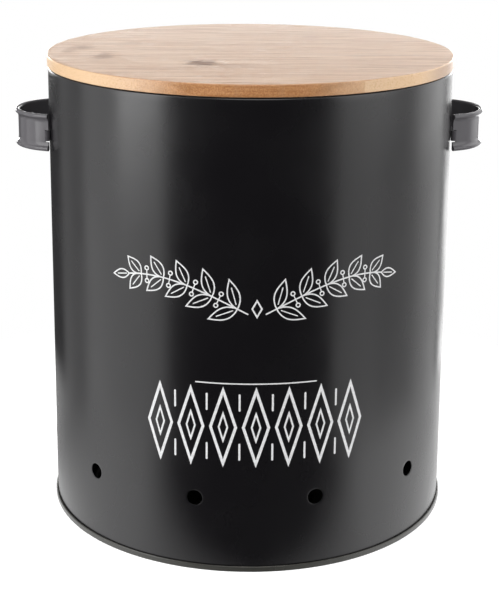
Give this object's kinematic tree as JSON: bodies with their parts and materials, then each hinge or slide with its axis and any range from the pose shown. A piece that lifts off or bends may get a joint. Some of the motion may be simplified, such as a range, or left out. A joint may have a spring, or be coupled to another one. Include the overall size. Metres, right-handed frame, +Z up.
{
  "type": "potato storage bin",
  "caption": "Round steel bin with a lift-off bamboo lid, strap handles at both sides and a ring of air vents near the foot.",
  "frame": {"origin": "on the table, on the axis of the round shell, at the bottom of the base's seam", "axes": "+X through the right-hand handle, +Y towards the back, away from the print, +Z up through the lid"},
  "size_m": [0.281, 0.2424, 0.2773],
  "materials": {
    "shell_paint": "satin near-black powder coat on rolled steel sheet",
    "base_paint": "satin dark olive-grey lacquer on the seamed steel base",
    "handle_paint": "satin near-black paint on bent steel strap",
    "rivet_paint": "satin near-black paint on domed blind rivets",
    "bamboo": "pale glued bamboo strips, fine sanded and oiled",
    "print_ink": "white screen-printed ornament, baked on",
    "silicone": "matte translucent white silicone"
  },
  "bodies": {
    "bin": {"body_shell": "shell_paint", "base_plate": "base_paint", "handle_left": "handle_paint", "handle_right": "handle_paint", "rivet_left_front": "rivet_paint", "rivet_left_rear": "rivet_paint", "rivet_right_front": "rivet_paint", "rivet_right_rear": "rivet_paint"},
    "lid": {"lid_board": "bamboo", "lid_seal": "silicone"}
  },
  "joints": [
    {"name": "lid_lift", "type": "slide", "parent": "bin", "child": "lid", "axis": [0, 0, 1], "range_m": [0, 0.2]}
  ]
}
